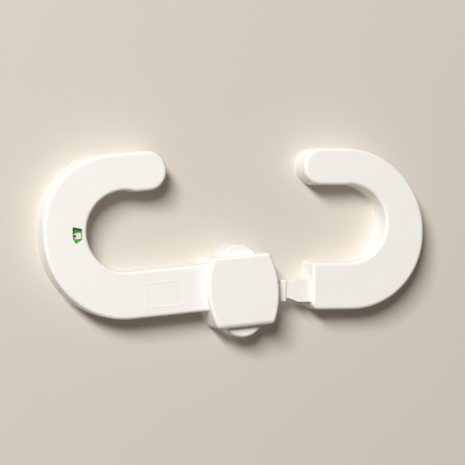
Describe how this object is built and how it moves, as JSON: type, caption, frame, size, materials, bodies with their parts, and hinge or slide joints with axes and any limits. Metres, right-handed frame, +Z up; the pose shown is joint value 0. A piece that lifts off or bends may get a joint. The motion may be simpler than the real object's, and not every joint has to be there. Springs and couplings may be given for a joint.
{
  "type": "cabinet door safety lock",
  "caption": "Sliding child-safety lock: two facing hooks on a toothed strap, with squeeze buttons and a small status window, for the knobs of double cabinet doors.",
  "frame": {"origin": "centre of the left hook's cradle, on the plane of the cabinet doors", "axes": "+X to the right along the left hook's arm towards the right hook, +Y into the doors, +Z up the doors"},
  "size_m": [0.1501, 0.0154, 0.0731],
  "materials": {
    "white_abs": "satin moulded ABS, warm white",
    "white_abs_inner": "plain moulded ABS, warm white",
    "white_acetal": "smooth moulded acetal",
    "white_nylon": "smooth moulded nylon",
    "indicator_paint": "green field with a plain padlock mark, red field beside it",
    "spring_steel": "drawn wire",
    "steel_pin": "plain steel",
    "zinc_screws": "zinc-plated steel"
  },
  "bodies": {
    "left_lock": {"left_front_cover": "white_abs", "left_rear_shell": "white_abs_inner", "left_screws": "zinc_screws", "housing_cap": "white_abs", "upper_left_spring": "spring_steel", "upper_right_spring": "spring_steel", "lower_left_spring": "spring_steel", "lower_right_spring": "spring_steel", "upper_pawl": "white_acetal", "lower_pawl": "white_acetal"},
    "upper_button": {"upper_button": "white_acetal"},
    "lower_button": {"lower_button": "white_acetal"},
    "indicator_rod": {"indicator_rod": "white_acetal"},
    "indicator_arc": {"indicator_arc": "indicator_paint"},
    "strap": {"toothed_strap": "white_nylon", "strap_hinge_pin": "steel_pin"},
    "right_hook": {"link": "white_nylon", "link_pin": "steel_pin", "right_front_cover": "white_abs", "right_rear_shell": "white_abs_inner", "right_screws": "zinc_screws"}
  },
  "joints": [
    {"name": "strap_slide", "type": "slide", "parent": "left_lock", "child": "strap", "axis": [1, 0, 0], "range_m": [-0.0012, 0.041], "deforming": ["upper_pawl", "lower_pawl"]},
    {"name": "hook_tilt", "type": "hinge", "parent": "strap", "child": "right_hook", "pos_m": [0.052, -0.0076, -0.0275], "axis": [0, -1, 0], "range_deg": [-4.7, 15.3]},
    {"name": "upper_button_press", "type": "slide", "parent": "left_lock", "child": "upper_button", "axis": [0, 0, -1], "range_m": [0, 0.0034], "stiffness_N_per_m": 800, "springref_m": -0.002, "deforming": ["upper_left_spring", "upper_right_spring", "lower_pawl"]},
    {"name": "lower_button_press", "type": "slide", "parent": "left_lock", "child": "lower_button", "axis": [0, 0, 1], "range_m": [0, 0.0034], "stiffness_N_per_m": 800, "springref_m": -0.002, "deforming": ["lower_left_spring", "lower_right_spring", "upper_pawl"]},
    {"name": "indicator_rod_slide", "type": "slide", "parent": "left_lock", "child": "indicator_rod", "axis": [-1, 0, 0], "range_m": [0, 0.00551]},
    {"name": "indicator_arc_turn", "type": "hinge", "parent": "left_lock", "child": "indicator_arc", "pos_m": [0, -0.009, 0], "axis": [0, 1, 0], "range_deg": [0, 16.6]}
  ],
  "couplings": [
    {"joint": "indicator_rod_slide", "follows": "upper_button_press", "ratio": 1.6176},
    {"joint": "indicator_arc_turn", "follows": "upper_button_press", "rad_per_m": 84.993}
  ]
}
